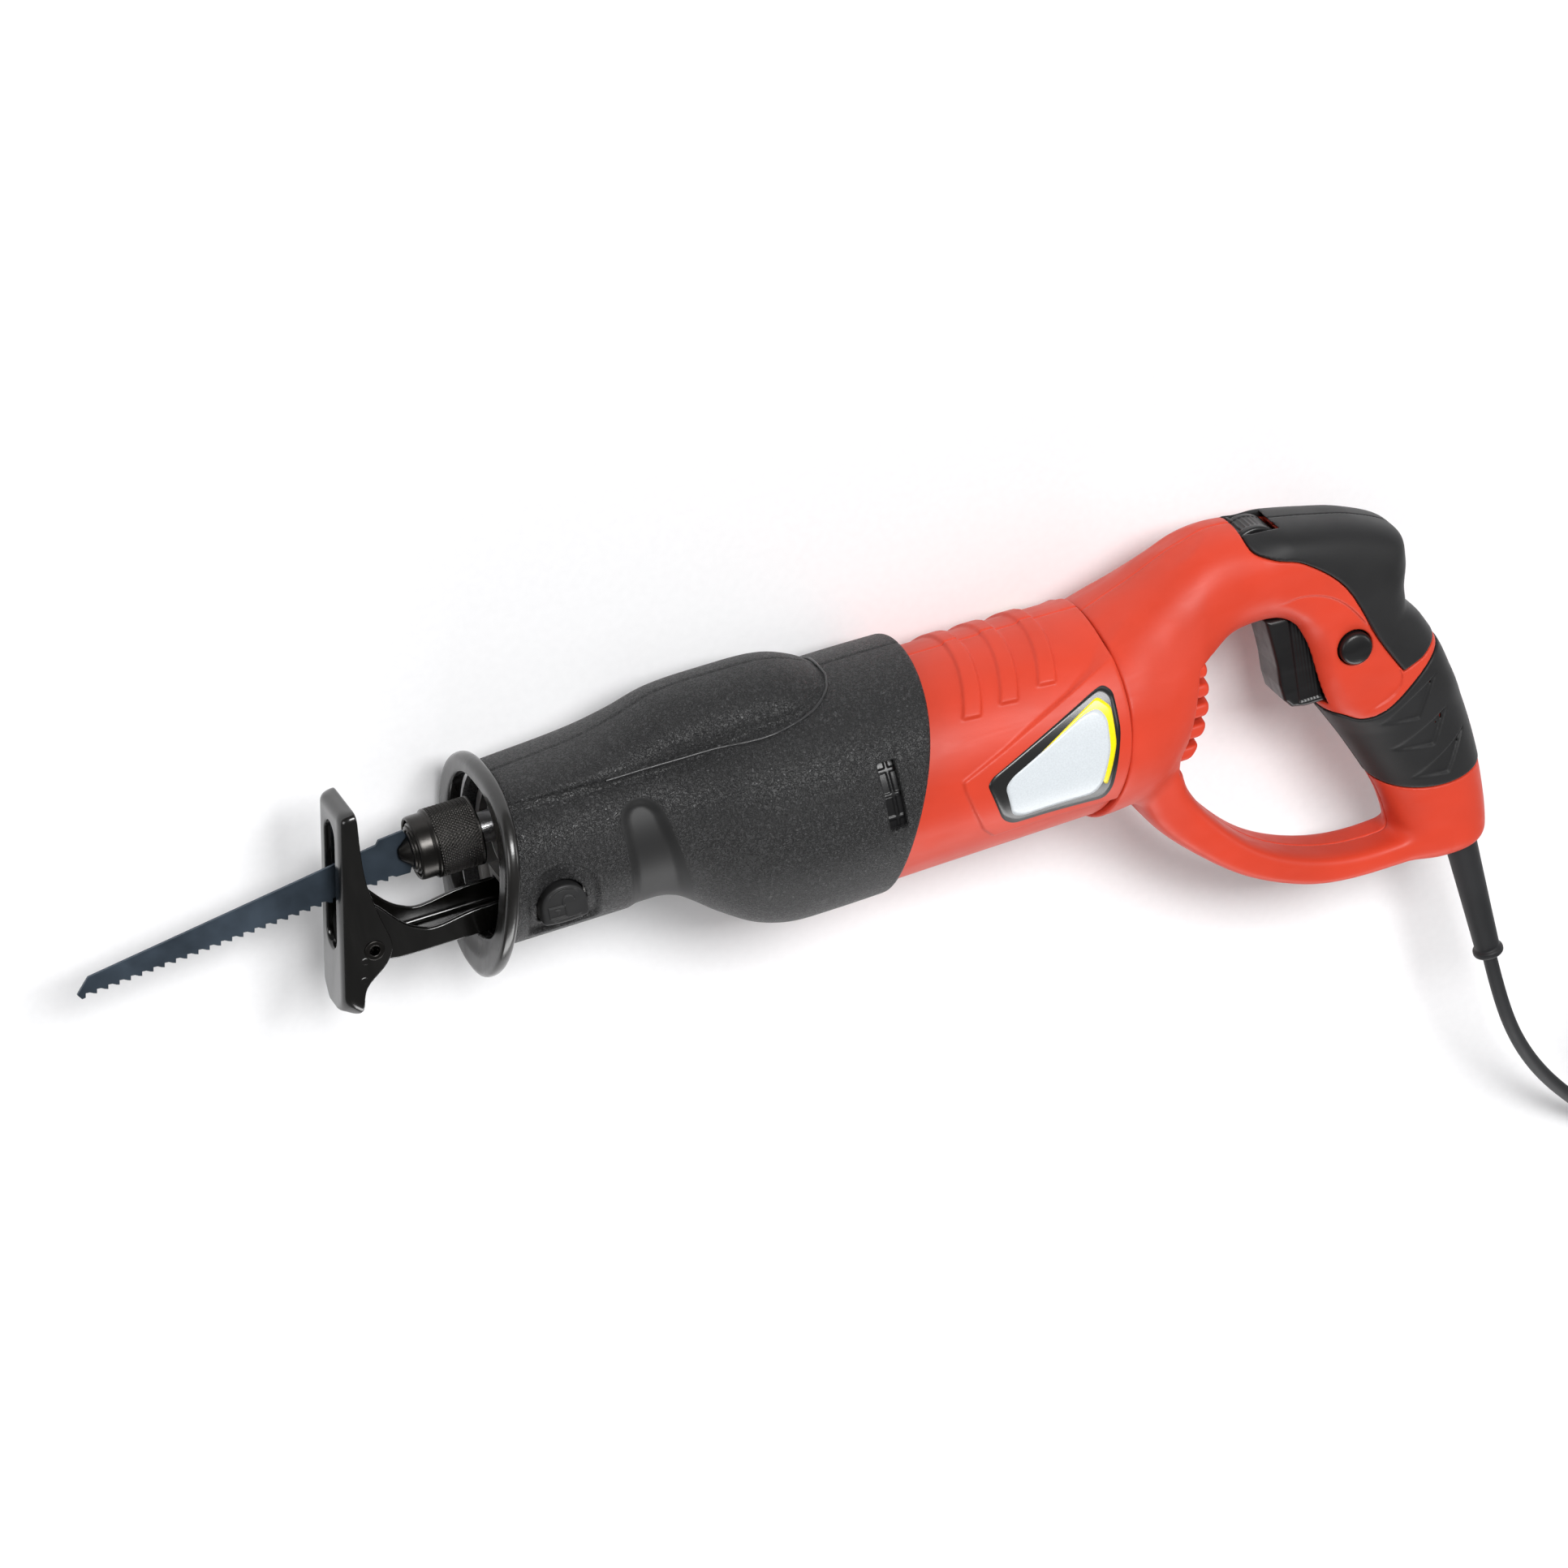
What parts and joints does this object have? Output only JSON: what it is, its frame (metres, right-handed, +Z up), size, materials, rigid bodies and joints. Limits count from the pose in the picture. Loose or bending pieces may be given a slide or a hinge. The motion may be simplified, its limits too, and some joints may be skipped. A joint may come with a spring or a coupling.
{
  "type": "reciprocating saw",
  "caption": "Corded reciprocating saw with a D-handle, knurled blade clamp, pivoting shoe on a sliding bracket, crank drive and a coiled mains lead.",
  "frame": {"origin": "on the surface the saw lies on, under the middle of the tool measured without its lead", "axes": "+X runs back along the tool from blade to handle, +Y is the tool's top side, +Z is up, which is the tool's left side"},
  "size_m": [0.7255, 0.3592, 0.0937],
  "materials": {
    "red_plastic": "fine spark texture",
    "boot_rubber": "leather grain",
    "grip_rubber": "satin",
    "black_plastic": "satin",
    "gloss_black_steel": "gloss",
    "black_oxide_steel": "black oxide, satin",
    "blade_steel": "blued, satin",
    "steel": "ground",
    "casting": "as cast",
    "bronze": "sintered",
    "copper": "enamelled wire",
    "laminations": "stacked laminations",
    "carbon": "pressed carbon",
    "label": "printed sheet",
    "cord": "satin",
    "nickel": "plated",
    "white_plastic": "moulded"
  },
  "bodies": {
    "root": {"front_flange": "gloss_black_steel", "front_boot": "boot_rubber", "gear_housing": "casting", "gear_housing_lid": "casting", "plunger_bushes": "bronze", "plunger_seal": "grip_rubber", "crank_bearings": "steel", "armature_bearings": "steel", "motor_housing_left": "red_plastic", "motor_housing_right": "red_plastic", "handle_left": "red_plastic", "handle_right": "red_plastic", "upper_grip_left": "grip_rubber", "upper_grip_right": "grip_rubber", "lower_grip_left": "grip_rubber", "lower_grip_right": "grip_rubber", "side_labels": "label", "housing_screws": "steel", "field_core": "laminations", "field_coils": "copper", "fan_baffle": "black_plastic", "brush_holders": "bronze", "carbon_brushes": "carbon", "brush_springs": "steel", "rear_bearing_bracket": "black_plastic", "switch_body": "black_plastic", "dial_axle": "steel", "speed_control_module": "white_plastic", "capacitor": "white_plastic", "cord_clamp": "black_plastic", "strain_relief": "cord", "cord_lead": "cord", "cord_coil": "cord", "cord_tie": "black_plastic", "plug_body": "cord", "plug_pins": "nickel"},
    "plunger": {"plunger_rod": "steel", "yoke": "steel", "blade_clamp_body": "black_oxide_steel", "clamp_pin": "steel", "clamp_spring": "steel", "blade": "blade_steel"},
    "clamp_sleeve": {"clamp_collar": "black_oxide_steel"},
    "crank": {"crank_gear": "steel", "crank_pin": "steel", "crank_shaft": "steel", "counterweight": "steel"},
    "armature": {"armature_shaft": "steel", "pinion": "steel", "cooling_fan": "black_plastic", "armature_core": "laminations", "armature_windings": "copper", "commutator": "copper"},
    "bracket": {"shoe_bracket": "gloss_black_steel", "shoe_pivot_pin": "steel"},
    "shoe": {"shoe_plate": "gloss_black_steel"},
    "release_button": {"shoe_release_button": "black_plastic"},
    "trigger_body": {"trigger": "black_plastic"},
    "lock_button_body": {"lock_button": "black_plastic"},
    "dial": {"speed_dial": "black_plastic"}
  },
  "joints": [
    {"name": "plunger_slide", "type": "slide", "parent": "root", "child": "plunger", "axis": [1, 0, 0], "range_m": [-0.014, 0.014]},
    {"name": "collar_twist", "type": "hinge", "parent": "plunger", "child": "clamp_sleeve", "pos_m": [-0.1337, 0.0499, 0.047], "axis": [1, 0, 0], "range_deg": [0, 90], "stiffness_Nm_per_rad": 0.08},
    {"name": "crank_spin", "type": "hinge", "parent": "root", "child": "crank", "pos_m": [-0.0167, 0.0309, 0.047], "axis": [0, 1, 0], "continuous": true},
    {"name": "armature_spin", "type": "hinge", "parent": "root", "child": "armature", "pos_m": [0.0793, 0.0244, 0.047], "axis": [1, 0, 0], "continuous": true},
    {"name": "bracket_slide", "type": "slide", "parent": "root", "child": "bracket", "axis": [-1, 0, 0], "range_m": [0, 0.03]},
    {"name": "shoe_tilt", "type": "hinge", "parent": "bracket", "child": "shoe", "pos_m": [-0.1714, 0.0216, 0.047], "axis": [0, 0, 1], "range_deg": [-12, 30]},
    {"name": "release_press", "type": "slide", "parent": "root", "child": "release_button", "axis": [0, 0, -1], "range_m": [0, 0.003], "stiffness_N_per_m": 600},
    {"name": "trigger_pull", "type": "slide", "parent": "root", "child": "trigger_body", "axis": [1, 0, 0], "range_m": [0, 0.006], "stiffness_N_per_m": 800},
    {"name": "lock_press", "type": "slide", "parent": "root", "child": "lock_button_body", "axis": [0, 0, -1], "range_m": [0, 0.003], "stiffness_N_per_m": 500},
    {"name": "dial_turn", "type": "hinge", "parent": "root", "child": "dial", "pos_m": [0.1978, 0.0679, 0.047], "axis": [0, 0, 1], "range_deg": [0, 280]}
  ],
  "couplings": [
    {"joint": "crank_spin", "follows": "armature_spin", "ratio": -0.18}
  ]
}
